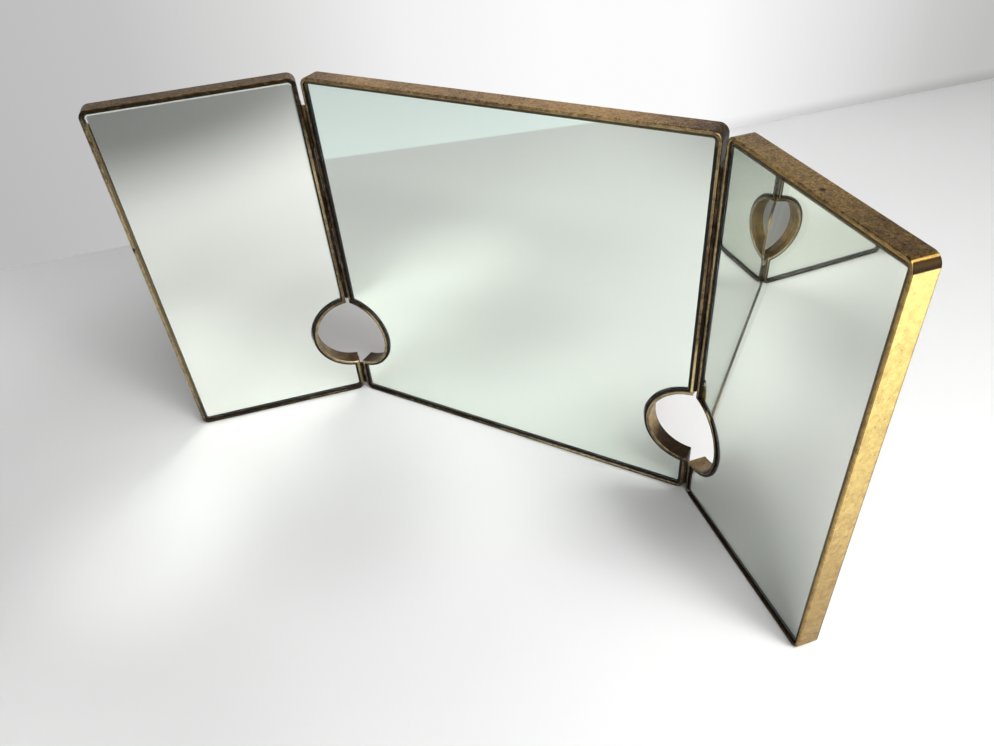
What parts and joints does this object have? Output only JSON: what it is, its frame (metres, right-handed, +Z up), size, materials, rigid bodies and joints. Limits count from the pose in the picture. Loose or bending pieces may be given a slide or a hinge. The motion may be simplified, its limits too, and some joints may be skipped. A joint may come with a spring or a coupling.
{
  "type": "trifold vanity mirror",
  "caption": "Free-standing table mirror: a wide centre panel and narrow folding wings, each a mirror in a thin brass band, with round finger openings on the hinge lines.",
  "frame": {"origin": "middle of the footprint, on the surface that the mirror stands on, with both wings folded forward by 44 degrees as at rest", "axes": "+Z up, +X along the centre panel to the right of someone who looks into the mirror, the mirrors face -Y"},
  "size_m": [0.5622, 0.1226, 0.3],
  "materials": {
    "aged_brass": "aged, brushed along the bar, with dark patina",
    "mirror": "silvered glass, polished",
    "black_bedding": "matte black strip",
    "grey_felt": "pressed felt",
    "stained_plywood": "dark stained plywood, satin",
    "tab_brass": "plain sheet brass",
    "dark_hinge_brass": "oxidised nearly black",
    "hinge_pin_steel": "darkened drawn wire"
  },
  "bodies": {
    "centre": {"centre_frame": "aged_brass", "centre_mirror_glass": "mirror", "centre_glass_bedding": "black_bedding", "centre_packing_felt": "grey_felt", "centre_back_board": "stained_plywood", "centre_retaining_tabs": "tab_brass", "right_upper_hinge_centre_leaf": "dark_hinge_brass", "right_upper_hinge_pin": "hinge_pin_steel", "right_lower_hinge_centre_leaf": "dark_hinge_brass", "right_lower_hinge_pin": "hinge_pin_steel", "left_upper_hinge_centre_leaf": "dark_hinge_brass", "left_upper_hinge_pin": "hinge_pin_steel", "left_lower_hinge_centre_leaf": "dark_hinge_brass", "left_lower_hinge_pin": "hinge_pin_steel"},
    "right_wing": {"right_wing_frame": "aged_brass", "right_wing_mirror_glass": "mirror", "right_wing_glass_bedding": "black_bedding", "right_wing_packing_felt": "grey_felt", "right_wing_back_board": "stained_plywood", "right_wing_retaining_tabs": "tab_brass", "right_upper_hinge_wing_leaf": "dark_hinge_brass", "right_lower_hinge_wing_leaf": "dark_hinge_brass"},
    "left_wing": {"left_wing_frame": "aged_brass", "left_wing_mirror_glass": "mirror", "left_wing_glass_bedding": "black_bedding", "left_wing_packing_felt": "grey_felt", "left_wing_back_board": "stained_plywood", "left_wing_retaining_tabs": "tab_brass", "left_upper_hinge_wing_leaf": "dark_hinge_brass", "left_lower_hinge_wing_leaf": "dark_hinge_brass"}
  },
  "joints": [
    {"name": "right_wing_fold", "type": "hinge", "parent": "centre", "child": "right_wing", "pos_m": [0.1588, 0.04605, 0.192], "axis": [0, 0, -1], "range_deg": [-44, 136]},
    {"name": "left_wing_fold", "type": "hinge", "parent": "centre", "child": "left_wing", "pos_m": [-0.1588, 0.04605, 0.192], "axis": [0, 0, 1], "range_deg": [-44, 136]}
  ]
}
